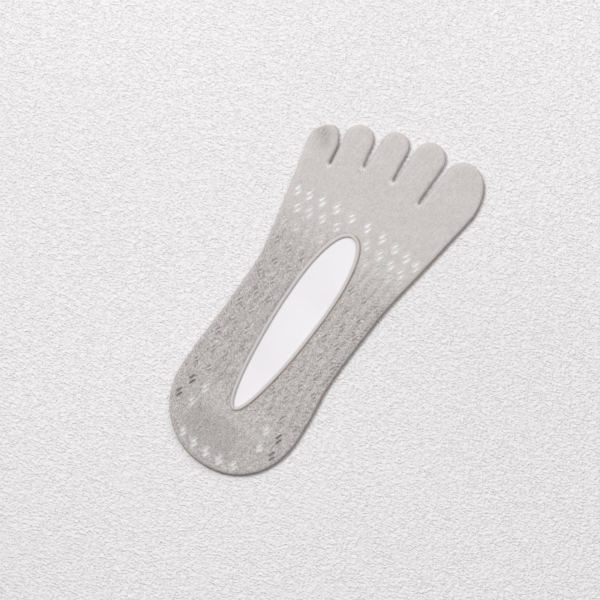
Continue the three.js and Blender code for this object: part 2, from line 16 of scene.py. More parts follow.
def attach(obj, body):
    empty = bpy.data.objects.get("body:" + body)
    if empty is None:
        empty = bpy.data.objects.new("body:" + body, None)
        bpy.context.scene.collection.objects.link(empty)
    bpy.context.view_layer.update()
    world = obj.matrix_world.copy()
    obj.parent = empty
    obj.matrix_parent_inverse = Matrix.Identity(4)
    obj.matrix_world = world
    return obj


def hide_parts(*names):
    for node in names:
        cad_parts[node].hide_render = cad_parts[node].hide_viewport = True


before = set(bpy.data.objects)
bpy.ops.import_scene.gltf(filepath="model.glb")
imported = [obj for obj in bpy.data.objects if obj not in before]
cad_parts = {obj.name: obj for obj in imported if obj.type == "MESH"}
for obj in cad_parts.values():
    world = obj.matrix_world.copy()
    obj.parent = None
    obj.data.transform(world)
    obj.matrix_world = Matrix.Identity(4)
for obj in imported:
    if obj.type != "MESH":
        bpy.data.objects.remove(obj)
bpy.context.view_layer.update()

# Where the foot's axis and the back of the heel lie in the frame, in millimetres
AXIS_X = 4.72
HEEL_Y = -110.0

# How far the picture is turned against the sock
PICTURE_TURN = math.radians(35)

# The sock as it lies flat. Its rim is round over RIM_REACH and widest at the height RIM_MIDDLE.
SOCK_LENGTH = 220.0
HEEL_WIDTH = 76.5
HEEL_DEPTH = 39.9
WAIST_WIDTH = 72.5
BALL_WIDTH = 94.0
TOE_GAP = 1.5
RIM_REACH = 3.0
KNIT_WALL = 0.55
KNIT_TOP = 4.25
KNIT_LOWEST = 3.92
RIM_MIDDLE = 2.3

# The card inside it
CARD_BOTTOM = 1.4
CARD_TOP = 3.35
CARD_INSET = 1.4
CARD_EDGE = 0.28
CARD_STEP = 0.9
CARD_SPACING = 6

# At the little toe, which starts on this side of x, the card ends short of the crease
CARD_TOE_SIDE = -36
CARD_SHORT = 4.4
CARD_PULL = 0.98

# The mouth and its edging
MOUTH_LENGTH = 113.0
MOUTH_WIDTH = 22.4
MOUTH_SETBACK = 36.0
MOUTH_WIDEST = 0.643
MOUTH_CENTRE = -0.0365 * WAIST_WIDTH
MOUTH_FRONT_POWER = 2.2
MOUTH_BACK_POWER = 1.75
EDGING_WIDTH = 2.2
ROLL_WIDTH = 1.9
EDGING_LOW = 3.6
EDGING_HIGH = 5.0

# The grip pad in the heel
GRIP_SIZE = (31.6, 17.0)
GRIP_CENTRE = (-6.0, 19.8)
GRIP_LOW = 3.42
GRIP_THICK = 0.4
GRIP_CORNER = 3.0
GRIP_EDGE = 0.12
GRIP_STEP = 0.7
GRIP_SPACING = 0.45

# Its studs, in staggered rows: pitch along and across, height and radius
STUD_PITCH = (3.0, 2.6)
STUD_HEIGHT = 0.14
STUD_RADIUS = 0.75

# Side edges in front of the heel's widest line: share of the way to the big toe's tip, width, and
# the shares of that width on the little-toe side and the big-toe side
SIDE_STATIONS = [
    (0.0, HEEL_WIDTH, 0.52, 0.48),
    (0.091, HEEL_WIDTH, 0.52, 0.466),
    (0.178, WAIST_WIDTH, 0.537, 0.464),
    (0.278, WAIST_WIDTH, 0.535, 0.463),
    (0.398, WAIST_WIDTH, 0.537, 0.475),
    (0.489, BALL_WIDTH, 0.446, 0.379),
    (0.581, BALL_WIDTH, 0.484, 0.404),
    (0.658, BALL_WIDTH, 0.519, 0.427),
    (0.725, BALL_WIDTH, 0.548, 0.441),
    (0.78, BALL_WIDTH, 0.555, 0.447),
]
HEEL_POWER = {-1: 2.0, 1: 2.15}

# Ends of the crotches from the little toe to the big toe, across and along
CROTCHES = np.array([(-0.386, 0.8), (-0.211, 0.842), (-0.023, 0.855), (0.176, 0.845)])
CROTCHES = CROTCHES * (BALL_WIDTH, SOCK_LENGTH)

# Toe pockets from the little toe to the big toe: tip across and along, lean in degrees, roundness,
# half widths and dome depths on the little side and the big side
TOES = [
    (-0.489, 0.885, 12.0, 1.62, 0.117, 0.06, 0.05, 0.048),
    (-0.334, 0.9273, 10.0, 2.05, 0.093, 0.078, 0.033, 0.038),
    (-0.132, 0.9636, 5.0, 2.1, 0.09, 0.0765, 0.035, 0.038),
    (0.073, 0.992, -1.5, 2.1, 0.088, 0.099, 0.042, 0.038),
    (0.316, 1.0, -4.0, 2.1, 0.107, 0.183, 0.05, 0.11),
]
OUTER_ROOT = 0.705


def smooth_step(low, high, at):
    """Goes softly from 0 at low to 1 at high."""
    t = np.clip((np.asarray(at, float) - low) / (high - low), 0, 1)
    return t * t * (3 - 2 * t)


def smooth_stretch(start, end, at):
    """1 on a stretch and 0 off it. start and end each give where the change begins and ends."""
    return smooth_step(*start, at) * (1 - smooth_step(*end, at))


def smooth_bump(away, reach):
    """1 in the middle, falling like a bell over about the reach."""
    return np.exp(-((away / reach) ** 2))


def smooth_value(places, values, at):
    """Smooth interpolation of values at rising places."""
    places = np.asarray(places, float)
    values = np.asarray(values, float)
    at = np.asarray(at, float)
    last = len(places) - 1
    slopes = np.empty(last + 1)
    slopes[1:last] = (values[2:] - values[:-2]) / (places[2:] - places[:-2])
    slopes[0] = (values[1] - values[0]) / (places[1] - places[0])
    slopes[last] = (values[last] - values[last - 1]) / (places[last] - places[last - 1])
    i = np.clip(np.searchsorted(places, at, side="left") - 1, 0, last - 1)
    span = places[i + 1] - places[i]
    t = np.clip((at - places[i]) / span, 0, 1)
    rise = values[i + 1] - values[i]
    start = slopes[i] * span
    end = slopes[i + 1] * span
    return values[i] + t * start + t**2 * (3 * rise - 2 * start - end) + t**3 * (start + end - 2 * rise)


STATION_Y = [HEEL_DEPTH + row[0] * (SOCK_LENGTH - HEEL_DEPTH) for row in SIDE_STATIONS]
STATION_X = {
    -1: [-row[1] * row[2] for row in SIDE_STATIONS],
    1: [row[1] * row[3] for row in SIDE_STATIONS],
}
HEEL_CENTRE = (STATION_X[-1][0] + STATION_X[1][0]) / 2


def side_edge(y, side):
    """The side of the foot at y. side is -1 or 1 for the little-toe side or the big-toe side."""
    y = np.asarray(y, float)
    power = HEEL_POWER[side]
    fall = np.clip(1 - y / HEEL_DEPTH, 0, 1)
    heel = HEEL_CENTRE + side * (HEEL_WIDTH / 2) * (1 - fall**power) ** (1 / power)
    return np.where(y < HEEL_DEPTH, heel, smooth_value(STATION_Y, STATION_X[side], y))


def middle_line(y):
    """Halfway between the sides of the foot at y."""
    return 0.5 * (side_edge(y, -1) + side_edge(y, 1))


def toe_outline(number):
    """One toe from its big-side root over the tip to its little-side root."""
    across, along, lean, power, little_half, big_half, little_dome, big_dome = TOES[number]
    angle = math.radians(lean)
    axis = np.array([-math.sin(angle), math.cos(angle)])
    right = np.array([axis[1], -axis[0]])
    tip = np.array([across * BALL_WIDTH, along * SOCK_LENGTH])
    dome = []
    for turn in np.linspace(math.pi / 2, -math.pi / 2, 61):
        half = (big_half if turn > 0 else little_half) * BALL_WIDTH
        depth = (big_dome if turn > 0 else little_dome) * SOCK_LENGTH
        out = math.copysign(half * abs(math.sin(turn)) ** (2 / power), turn)
        fall = depth * (1 - abs(math.cos(turn)) ** (2 / power))
        dome.append(tip + right * out - axis * fall)

    def root(index, sign):
        if 0 <= index < len(CROTCHES):
            return CROTCHES[index] - (sign * TOE_GAP / 2, 0)
        y = OUTER_ROOT * SOCK_LENGTH
        return np.array([float(side_edge(y, sign)), y])

    return [root(number, 1), *dome, root(number - 1, -1)]


def resampled(loop, spacing):
    """A closed loop with evenly spaced points."""
    loop = np.asarray(loop, float)
    closed = np.vstack([loop, loop[:1]])
    steps = np.linalg.norm(np.diff(closed, axis=0), axis=1)
    travel = np.concatenate([[0], np.cumsum(steps)])
    count = max(8, round(travel[-1] / spacing))
    at = np.linspace(0, travel[-1], count, endpoint=False)
    return np.column_stack([np.interp(at, travel, closed[:, k]) for k in (0, 1)])


def relaxed(loop, passes):
    """Evens out the corners of a closed loop a little."""
    for _ in range(passes):
        loop = 0.25 * np.roll(loop, 1, axis=0) + 0.5 * loop + 0.25 * np.roll(loop, -1, axis=0)
    return loop


def sock_outline(spacing):
    """The whole sock's outline, anticlockwise from the back of the heel."""
    turns = np.radians(np.linspace(0, 90, 40, endpoint=False))
    points = []
    heel = {}
    for side in (-1, 1):
        power = 2 / HEEL_POWER[side]
        x = HEEL_CENTRE + side * (HEEL_WIDTH / 2) * np.sin(turns) ** power
        heel[side] = np.column_stack([x, HEEL_DEPTH * (1 - np.cos(turns) ** power)])
    y = np.linspace(HEEL_DEPTH, OUTER_ROOT * SOCK_LENGTH, 80, endpoint=False)
    points += list(heel[1])
    points += list(np.column_stack([side_edge(y, 1), y]))
    for number in range(len(TOES) - 1, -1, -1):
        points += toe_outline(number)
        if number > 0:
            for turn in np.radians([30, 60, 90, 120, 150]):
                corner = TOE_GAP / 2 * np.array([math.cos(turn), -math.sin(turn)])
                points.append(CROTCHES[number - 1] + corner)
    points += list(np.column_stack([side_edge(y, -1), y])[::-1])
    points += list(heel[-1][::-1][:-1])
    return relaxed(resampled(points, spacing), 3)


def mouth_outline(spacing):
    """The clear opening inside the edging, anticlockwise."""
    turns = np.linspace(0, 2 * math.pi, 720, endpoint=False)
    c, s = np.cos(turns), np.sin(turns)
    power = np.where(s > 0, 2 / MOUTH_FRONT_POWER, 2 / MOUTH_BACK_POWER)
    reach = np.where(s > 0, MOUTH_LENGTH * (1 - MOUTH_WIDEST), MOUTH_LENGTH * MOUTH_WIDEST)
    x = MOUTH_CENTRE + np.sign(c) * np.abs(c) ** power * MOUTH_WIDTH / 2
    y = MOUTH_SETBACK + MOUTH_LENGTH * MOUTH_WIDEST + np.sign(s) * np.abs(s) ** power * reach
    return relaxed(resampled(np.column_stack([x, y]), spacing), 4)


def normals(loop):
    """Unit normals to the left of a closed loop, inward for an anticlockwise one."""
    tangent = np.roll(loop, -1, axis=0) - np.roll(loop, 1, axis=0)
    tangent /= np.linalg.norm(tangent, axis=1)[:, None]
    return np.column_stack([-tangent[:, 1], tangent[:, 0]])


def edges_of(loop):
    """The edges of a closed loop, their lengths, and how far along the loop each starts."""
    edges = np.roll(loop, -1, axis=0) - loop
    length = np.linalg.norm(edges, axis=1)
    return edges, length, np.concatenate([[0], np.cumsum(length)[:-1]])


def nearest(points, loop, chunk=4000):
    """Distance of points from a closed loop, and how far along the loop the nearest place is."""
    points = np.asarray(points, float)
    edges, length, start = edges_of(loop)
    distance = np.empty(len(points))
    along = np.empty(len(points))
    for k in range(0, len(points), chunk):
        offset = points[k : k + chunk, None, :] - loop[None]
        t = np.clip((offset * edges[None]).sum(2) / length[None] ** 2, 0, 1)
        gap = np.linalg.norm(offset - t[:, :, None] * edges[None], axis=2)
        best = gap.argmin(1)
        rows = np.arange(len(best))
        distance[k : k + chunk] = gap[rows, best]
        along[k : k + chunk] = start[best] + t[rows, best] * length[best]
    return distance, along


def inside(points, loop):
    """Which points lie inside a closed loop."""
    points = np.asarray(points, float)
    found = np.zeros(len(points), bool)
    for (x0, y0), (x1, y1) in zip(loop, np.roll(loop, -1, axis=0)):
        if y0 == y1:
            continue
        crossing = (points[:, 1] < y0) != (points[:, 1] < y1)
        found ^= crossing & (points[:, 0] < x0 + (points[:, 1] - y0) * (x1 - x0) / (y1 - y0))
    return found


def ripple(x, y, length, seed):
    """A soft, uneven wave of about the given wavelength, from -1 to 1."""
    total = np.zeros_like(np.asarray(x, float))
    for k in range(6):
        turn = 2.4 * k + seed
        size = 2 * math.pi / (length * (0.75 + 0.13 * k))
        total += np.sin(size * (math.cos(turn) * x + math.sin(turn) * y) + 1.7 * seed * (k + 1))
    return total / 3.2


OUTLINE = sock_outline(0.6)
MOUTH = mouth_outline(0.8)

# Eyelets: each motif is two parallel slits, of this length and width at full size
SLIT = (3.9, 1.25)
SLIT_LIP = 0.24
SLIT_LEAN = math.radians(21)
PAIR = (1.7, 2.4)
COLUMN_PITCH = 8.4
ROW_PITCH = 9.9
EYELET_INSET = 5.0
BALL_COLUMNS = 10
BALL_FIRST = 0.04
BALL_SPREAD = 0.03
EYELET_KEEP = 3.0

# Rows across the ball: place along at the little-toe side, the middle and the big-toe side, motifs
# in the row, and its shift in columns
BALL_ROWS = [
    (0.696, 0.7205, 0.708, 10, 0.0),
    (0.656, 0.683, 0.668, 9, 0.5),
    (0.612, 0.64, 0.65, 10, 0.0),
]

# How far the slits of a motif are open, and how much painted light they carry: white where the card shows
# through them, and below 0 painted shade where they look into the shade past the card's edge
BALL_LOOKS = [(1.0, 1.0), (0.9, 0.85), (0.65, 0.6)]
HEEL_LOOKS = [(0.4, -0.9), (0.95, 0.9)]
SIDE_LOOK = (0.4, -0.05)
BACK_LOOK = (1.0, 1.0)
SIDE_SIZE = 0.8
HEEL_SIZE = 0.9

# The row round the back of the heel
BACK_PLACE = 0.032
BACK_BEND = 0.55


def beside_mouth(x, y):
    """How far a point lies outside the edging, across or in front of the mouth."""
    share = np.clip((y - MOUTH_SETBACK) / MOUTH_LENGTH, 0, 1)
    back = share < MOUTH_WIDEST
    reach = MOUTH_WIDEST if back else 1 - MOUTH_WIDEST
    power = MOUTH_BACK_POWER if back else MOUTH_FRONT_POWER
    half = MOUTH_WIDTH / 2 * (1 - (abs(share - MOUTH_WIDEST) / reach) ** power) ** (1 / power)
    return max(abs(x - MOUTH_CENTRE) - half, y - MOUTH_SETBACK - MOUTH_LENGTH) - EDGING_WIDTH


def motif_places():
    """Every motif: x, y, size as a share, how far its slits are open as a share, and the painted light
    that stands for the white card showing in them, below 0 painted shade where they look into the shaded
    rim."""
    found = []
    for number, (little, middle, big, count, shift) in enumerate(BALL_ROWS):
        bend = 2 * (little - 2 * middle + big)
        for i in range(count):
            even = (i + 0.5 + shift) / BALL_COLUMNS
            s = even - BALL_SPREAD * math.sin(2 * math.pi * even)
            y = SOCK_LENGTH * (little + s * (big - little - bend) + s * s * bend)
            low = float(side_edge(y, -1)) + EYELET_INSET
            high = float(side_edge(y, 1)) - EYELET_INSET
            x = low + (high - low) * (s - BALL_FIRST) / (1 - 2 * BALL_FIRST)
            if beside_mouth(x, y) > EYELET_KEEP:
                found.append((x, y, 1.0, *BALL_LOOKS[number]))
    first = BALL_ROWS[2][0] * SOCK_LENGTH - ROW_PITCH
    rows = int((first - HEEL_DEPTH / 2) // ROW_PITCH) + 1
    for row in range(rows):
        y = first - row * ROW_PITCH
        in_heel = y < HEEL_DEPTH + ROW_PITCH / 2
        for side in (-1, 1):
            for column in range(2 if in_heel else 3):
                from_edge = EYELET_INSET + (column + (row % 2) / 2) * COLUMN_PITCH
                x = float(side_edge(y, side)) - side * from_edge
                if in_heel:
                    found.append((x, y, HEEL_SIZE, *HEEL_LOOKS[column]))
                elif beside_mouth(x, y) > EYELET_KEEP:
                    found.append((x, y, SIDE_SIZE, *SIDE_LOOK))
    for i in range(-2, 3):
        x = HEEL_CENTRE + i * COLUMN_PITCH
        y = BACK_PLACE * SOCK_LENGTH + BACK_BEND * i * i
        found.append((x, y, HEEL_SIZE, *BACK_LOOK))
    return found


MOTIFS = motif_places()


def slits():
    """Every slit: its centre, half length, half width and painted light, below 0 painted shade."""
    found = []
    for x, y, size, opened, painted_slit_light_and_pale_thread in MOTIFS:
        for side in (-0.5, 0.5):
            centre = (x + side * size * PAIR[0], y - side * size * PAIR[1])
            found.append((centre, size * SLIT[0] / 2, size * opened * SLIT[1] / 2, painted_slit_light_and_pale_thread))
    return found


def slit_loop(slit, grow, count):
    """A slit's rounded outline, grown by a distance."""
    (x, y), long, wide, _ = slit
    turns = np.linspace(0, 2 * math.pi, count, endpoint=False)
    out = np.sign(np.cos(turns)) * np.abs(np.cos(turns)) ** 0.8 * (wide + grow)
    up = np.sin(turns) * (long + grow)
    c, s = math.cos(SLIT_LEAN), math.sin(SLIT_LEAN)
    return np.column_stack([x + out * c + up * s, y - out * s + up * c])


SLITS = slits()

# Stitches: columns across the foot, the height of a row, and the stretch of the foot along which
# the columns spread and draw together
WALES = 84
COURSE_PITCH = 0.78
FABRIC_SPAN = (24, 168)

# Long ribs beside the mouth. RIB_SHARES is their strength on the little-toe and the big-toe side.
RIB_WIDTH = 4.9
RIB_STITCH = 2.3
RIB_RISE = 0.2
RIB_SPAN = ((24, 52), (126, 156))
RIB_SHARES = (0.8, 0.9)

# Soft waves of the whole face: height, length and seed
WAVES = [(0.09, 13, 2.1), (0.035, 4.6, 5.3)]

# Relief at the toes, over the pad, at the eyelets and round the crotches
TOE_DROP = 0.12
TOE_START = (168, 184)
PAD_RISE = 0.16
PAD_EDGE = (-0.8, 2.0)
PAD_SOFT_RISE = 0.08
PAD_SOFT_EDGE = (1, 8)
EYELET_DROP = 0.3
EYELET_REACH = 2.7
EYELET_WINDOW = 9
PUCKER_COUNT = 11
PUCKER_RISE = 0.22
PUCKER_REACH = 4.5
CROTCH_DROP = 0.2
CROTCH_REACH = 4.0

# The little toe's empty tip: a place on its crease, the direction across it, and its middle line
CREASE_PLACE = (-48.6, 190.5)
CREASE_ACROSS = (0.48, 0.88)
TIP_MIDDLE = -49.5
TIP_START = (172, 180)
TIP_DROP = 0.75
CREASE_DEPTH = 0.5
FOLD_RISE = 0.34
FOLD_PITCH = 2.3

# The edging's fine ribs: their pitch, their lean round the roll in radians, their swell, and the
# rows of stitches round the roll
RIB_PITCH = 1.05
RIB_LEAN = 0.9
RIB_SWELL = 0.028
ROLL_COURSES = 6
ROLL_STEP = 0.34
ROLL_SIDES = 16

# The groove and the fine gathers of the knit beside the edging
GROOVE_DEPTH = 0.3
GROOVE_REACH = 0.6
UNDER_EDGING = 0.15
GATHER_RISE = 0.05
GATHER_PITCH = 2.3
GATHER_REACH = 2.2

# Points of the knit's mesh: how many go round a slit, their rows round the rim in degrees, their
# spacing on each face, and how near to a slit they may lie
SLIT_POINTS = 12
OUTER_RIM_TURNS = (14, 27, 40, 52, 64, 77, 90)
INNER_RIM_TURNS = (0, 30, 60, 90)
FABRIC_SPACING = 0.86
INNER_SPACING = 2.4
SOLE_SPACING = 2.2
INNER_FLOOR_SPACING = 3
SLIT_CLEARANCE = 0.16

# How far outside the mouth the knit ends, under the edging, and the close rows of points beyond
MOUTH_HOLE = 1.45
FRINGE = (1.75, 2.1, 2.5, 2.9, 3.4, 4.0)
FRINGE_CELL = 0.22

# How much of a slit's painted light and painted shade its lip carries
LIP_PAINTED_LIGHT_AND_SHADE = 0.5

# Stitches at each crotch: step to the side, distance behind its end, and lean in degrees. They fan
# out by TACK_FAN degrees from one crotch to the next.
TACKS = [(-1.3, 1.9, 24), (-0.3, 2.5, -18), (0.6, 2.0, 28), (1.5, 2.6, -14)]
TACK_LENGTH = 2.2
TACK_THICK = 0.3
TACK_ARCH = 0.18
TACK_STEPS = 7
TACK_SIDES = 8
TACK_FAN = 5
TACK_PALE = 0.9


def rib_place(x, y):
    """Where a point lies in the long ribs beside the mouth: across in ribs, along in stitches, and
    how strong the ribs are there."""
    side = np.where(x < middle_line(y), -1, 1)
    from_side = np.where(side < 0, x - side_edge(y, -1), side_edge(y, 1) - x)
    wander = 0.55 * np.sin(y / 17.0 + 1.3 * side) + 0.4 * np.sin(y / 7.1 + x / 11.0)
    strength = smooth_stretch(*RIB_SPAN, y) * np.where(side < 0, *RIB_SHARES)
    strength = strength * (0.65 + 0.35 * ripple(x, y, 26, 0.7))
    return (from_side + wander) / RIB_WIDTH, y / RIB_STITCH, strength


def beyond_pad(x, y):
    """How far a point lies outside the grip pad, below 0 over it."""
    return np.maximum(
        np.abs(x - GRIP_CENTRE[0]) - GRIP_SIZE[0] / 2, np.abs(y - GRIP_CENTRE[1]) - GRIP_SIZE[1] / 2
    )


def knit_height(x, y):
    """Height of the knit's outer face over the sole, away from its rim."""
    height = np.full_like(x, KNIT_TOP)
    across, _, strength = rib_place(x, y)
    height += RIB_RISE * strength * (np.cos(2 * math.pi * across) + 0.3)
    for rise, length, seed in WAVES:
        height += rise * ripple(x, y, length, seed)
    # The toes lie a little lower
    height -= TOE_DROP * smooth_step(*TOE_START, y)
    # The knit rises over the pad in the heel
    over = beyond_pad(x, y)
    height += PAD_RISE * (1 - smooth_step(*PAD_EDGE, over))
    height += PAD_SOFT_RISE * (1 - smooth_step(*PAD_SOFT_EDGE, over))
    # Eyelets lie lower than plain knit
    for cx, cy, size, opened, _ in MOTIFS:
        near = (np.abs(x - cx) < EYELET_WINDOW) & (np.abs(y - cy) < EYELET_WINDOW)
        away = np.hypot(x[near] - cx, y[near] - cy) / size
        height[near] -= EYELET_DROP * size * opened * smooth_bump(away, EYELET_REACH)
    # Gathers round the crotches of the toes
    for crotch_x, crotch_y in CROTCHES:
        dx, dy = x - crotch_x, y - crotch_y
        away = np.hypot(dx, dy)
        turn = np.arctan2(dx, -dy)
        pucker = np.cos(PUCKER_COUNT * turn) * smooth_step(0.4, 2.5, away) * np.exp(-away / PUCKER_REACH)
        height += PUCKER_RISE * pucker - CROTCH_DROP * smooth_bump(away, CROTCH_REACH)
    # It bottoms out softly on the card
    sharpness = 12
    return KNIT_LOWEST + np.logaddexp(0, (height - KNIT_LOWEST) * sharpness) / sharpness


def fold_across(x, y):
    """How far a point lies past the crease of the little toe's empty tip."""
    return (x - CREASE_PLACE[0]) * CREASE_ACROSS[0] + (y - CREASE_PLACE[1]) * CREASE_ACROSS[1]


def little_toe_fold(x, y):
    """The empty tip of the little toe lies lower and is folded over on itself."""
    across = fold_across(x, y)
    along = (x - CREASE_PLACE[0]) * CREASE_ACROSS[1] - (y - CREASE_PLACE[1]) * CREASE_ACROSS[0]
    near = smooth_step(-9, -3, -np.abs(x - TIP_MIDDLE)) * smooth_step(*TIP_START, y)
    fall = TIP_DROP * smooth_step(-2.4, 0.2, across)
    crease = CREASE_DEPTH * smooth_bump(across + 1.2, 1.1)
    folds = np.sin(2 * math.pi * (along + 0.5 * across) / FOLD_PITCH)
    return near * (FOLD_RISE * folds * smooth_bump(across + 2, 4.5) - fall - crease)


def rounded(share):
    """A quarter circle: 0 at the outline, 1 where the rim ends."""
    return np.sqrt(np.clip(1 - (1 - np.clip(share, 0, 1)) ** 2, 0, 1))


def place(points):
    """From the sock's own axes in millimetres to the frame in metres."""
    points = np.asarray(points, float)
    return np.column_stack([points[:, 0] + AXIS_X, points[:, 1] + HEEL_Y, points[:, 2]]) / 1000


def triangulated(outer, holes, scatter):
    """Triangles between an outer loop and holes, through scattered points. A point's kind is its
    loop's number, 0 for the outer one, or -1."""
    loops = [outer, *holes]
    kinds = [np.full(len(loop), number) for number, loop in enumerate(loops)]
    kind = np.concatenate([*kinds, np.full(len(scatter), -1)])
    points = np.vstack([*loops, scatter])
    edges = []
    start = 0
    for loop in loops:
        count = len(loop)
        edges += [(start + i, start + (i + 1) % count) for i in range(count)]
        start += count
    found = delaunay_2d_cdt([Vector(p) for p in points.tolist()], edges, [], 0, 1e-7, True)
    source = np.array([ids[0] if ids else -1 for ids in found[3]])
    if (source < 0).any():
        raise RuntimeError("two loops of a mesh cross")
    faces = source[np.array(found[2])]
    a, b, c = (points[faces[:, k]] for k in range(3))
    area = (b[:, 0] - a[:, 0]) * (c[:, 1] - a[:, 1]) - (b[:, 1] - a[:, 1]) * (c[:, 0] - a[:, 0])
    faces[area < 0] = faces[area < 0][:, ::-1]
    # A face between points of one loop lies in a hole, or outside where the outer loop bends in
    k = kind[faces]
    waste = (k[:, 0] >= 0) & (k[:, 0] == k[:, 1]) & (k[:, 1] == k[:, 2])
    outer_only = np.flatnonzero(waste & (k[:, 0] == 0))
    waste[outer_only] = ~inside(points[faces[outer_only]].mean(1), outer)
    return points, faces[~waste & (np.abs(area) > 1e-9)], kind


def inset_rings(outline, insets):
    """Rows of points inside the outline at the given distances, less those that would cross."""
    rings = []
    inward = normals(outline)
    for inset in insets:
        ring = outline + inward * inset
        distance, _ = nearest(ring, outline)
        ring = ring[distance > inset * 0.985 - 1e-6]
        apart = np.linalg.norm(ring - np.roll(ring, 1, axis=0), axis=1)
        rings.append(ring[apart > 0.12])
    return rings


def clear_of(points, holes, gap):
    """The points that lie outside every hole and at least a gap away from it."""
    good = np.ones(len(points), bool)
    for hole in holes:
        centre = hole.mean(0)
        reach = np.abs(hole - centre).max(0) + gap
        near = (np.abs(points - centre) < reach).all(1)
        if near.any():
            distance, _ = nearest(points[near], hole)
            bad = (distance < gap) | inside(points[near], hole)
            good[np.flatnonzero(near)[bad]] = False
    return points[good]


def scattered(outline, inset, spacing):
    """A staggered grid of points that keeps inside the outline by the inset."""
    low = outline.min(0)
    high = outline.max(0)
    rows = np.arange(low[1], high[1], spacing * 0.866)
    grid = []
    for number, y in enumerate(rows):
        x = np.arange(low[0] + (number % 2) * spacing / 2, high[0], spacing)
        grid.append(np.column_stack([x, np.full_like(x, y)]))
    grid = np.vstack(grid)
    grid = grid[inside(grid, outline)]
    distance, _ = nearest(grid, outline[::2])
    return grid[distance > inset + spacing * 0.45]


def linked(name, data):
    """A new object in the scene."""
    made = bpy.data.objects.new(name, data)
    bpy.context.scene.collection.objects.link(made)
    return made


def new_object(name, points, faces, node, slot, **attributes):
    """A smooth-shaded piece from points in millimetres. It stands for a CAD node if one is named.
    The attributes give a number or a vector at each point, for the materials to read."""
    mesh = bpy.data.meshes.new(name)
    mesh.from_pydata(place(points).tolist(), [], [[int(v) for v in face] for face in faces])
    mesh.shade_smooth()
    mesh.set_sharp_from_angle(angle=math.radians(48))
    piece = linked(name, mesh)
    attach(piece, "root")
    if node:
        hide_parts(node)
    for key, values in attributes.items():
        values = np.asarray(values, np.float32)
        kind, field = ("FLOAT_VECTOR", "vector") if values.ndim == 2 else ("FLOAT", "value")
        mesh.attributes.new(key, kind, "POINT").data.foreach_set(field, values.ravel())
    return piece


def fabric_place(x, y):
    """Where a point lies in the fabric, in stitches: wales across and courses along. The wales
    spread and draw together with the foot."""
    y_body = np.clip(y, *FABRIC_SPAN)
    width = side_edge(y_body, 1) - side_edge(y_body, -1)
    across = (x - middle_line(y_body)) / width * WALES
    return np.column_stack([across, y / COURSE_PITCH, np.zeros_like(x)])


# Painted shade on the turned rim, warm and dark, on its side away from the key light: where it faces, how
# wide it is, and where it is weaker, between the toes
RIM_SHADED_FACING = (0.86, -0.51)
RIM_WIDTH = (0.25, 1.4)
TOES_START = (160, 176)
BIG_TOE_START = (24, 34)
BETWEEN_TOES_LOSS = 0.6

# Painted shadow that the raised edging casts on the knit beside it, on the big-toe side away from the key
# light: where it lies, how wide it is and how deep
EDGING_SHADOW_PLACE = 0.3
EDGING_SHADOW_WIDTH = 0.5
EDGING_SHADOW_DEPTH = 0.9

# Tones of the knit, 0 for the darkest and 1 for the palest
BODY_TONE = 0.42
RIGHT_GAIN = 0.08
BALL_TONE = 0.81
BALL_START = (114, 158)
BEHIND_MOUTH = ((24, 30), (38, 46))
BEHIND_WIDTH = (14, 30)
BEHIND_GAIN = 0.16
PAD_LOSS = 0.3
# Painted shade on the side of the little toe's fold that faces away from the light, and where along the
# foot it begins
TIP_FOLD_PAINTED_SHADE = 0.7
TIP_BACK = 170

# Where the coarse knit beside the mouth gives way to the fine knit of the toes
COARSE_END = (110, 156)


def painted_rim_shade(x, y):
    """Painted shade on the turned edge of the knit, darker and warmer on its side away from the key
    light, the big-toe side and round the heel, with the painted shadow of the edging added.
    """
    points = np.column_stack([x, y])
    edge, along = nearest(points, OUTLINE)
    _, _, start = edges_of(OUTLINE)
    out = -normals(OUTLINE)[np.clip(np.searchsorted(start, along) - 1, 0, len(start) - 1)]
    facing = smooth_step(-0.05, 0.6, out @ np.array(RIM_SHADED_FACING))
    between_toes = smooth_step(*TOES_START, y) * (1 - smooth_step(*BIG_TOE_START, x))
    painted_shade = facing * (1 - smooth_step(*RIM_WIDTH, edge)) * (1 - BETWEEN_TOES_LOSS * between_toes)
    # Painted shadow of the edging on the knit beside it, on the big-toe side only
    gap, _ = nearest(points, MOUTH)
    edging_shadow = smooth_bump(gap - ROLL_WIDTH - EDGING_SHADOW_PLACE, EDGING_SHADOW_WIDTH) * smooth_step(-1, 3, x - MOUTH_CENTRE)
    return painted_shade + EDGING_SHADOW_DEPTH * edging_shadow


def knit_tone(x, y):
    """0 for the darkest knit, 1 for the palest."""
    right = smooth_step(-8, 12, x - middle_line(y)) * smooth_step(0, 40, y)
    tone = BODY_TONE + RIGHT_GAIN * right
    tone = tone + (BALL_TONE - tone) * smooth_step(*BALL_START, y)
    behind = smooth_stretch(*BEHIND_MOUTH, y) * (1 - smooth_step(*BEHIND_WIDTH, np.abs(x - MOUTH_CENTRE)))
    tone = tone + BEHIND_GAIN * behind
    over = beyond_pad(x, y) + 0.7 * ripple(x, y, 7, 0.4)
    tone = tone - PAD_LOSS * (1 - smooth_step(-2.4, 2.0, over))
    # Painted shade where the little toe's fold faces away from the light
    at_tip = smooth_step(-10, -4, -np.abs(x - TIP_MIDDLE)) * (y > TIP_BACK)
    return tone - TIP_FOLD_PAINTED_SHADE * smooth_bump(fold_across(x, y) + 2.5, 5.0) * at_tip


def upper_face(points):
    """Height of the knit's whole outer face, with the groove and the gathers beside the edging."""
    x, y = points[:, 0], points[:, 1]
    gap, along = nearest(points, MOUTH)
    past = gap - ROLL_WIDTH - UNDER_EDGING
    groove = GROOVE_DEPTH * smooth_bump(past, GROOVE_REACH) + UNDER_EDGING * (past < 0)
    gather = GATHER_RISE * np.sin(2 * math.pi * along / GATHER_PITCH)
    gather = gather * np.exp(-np.clip(past, 0, None) / GATHER_REACH) * (past > 0)
    return knit_height(x, y) + little_toe_fold(x, y) - groove + gather


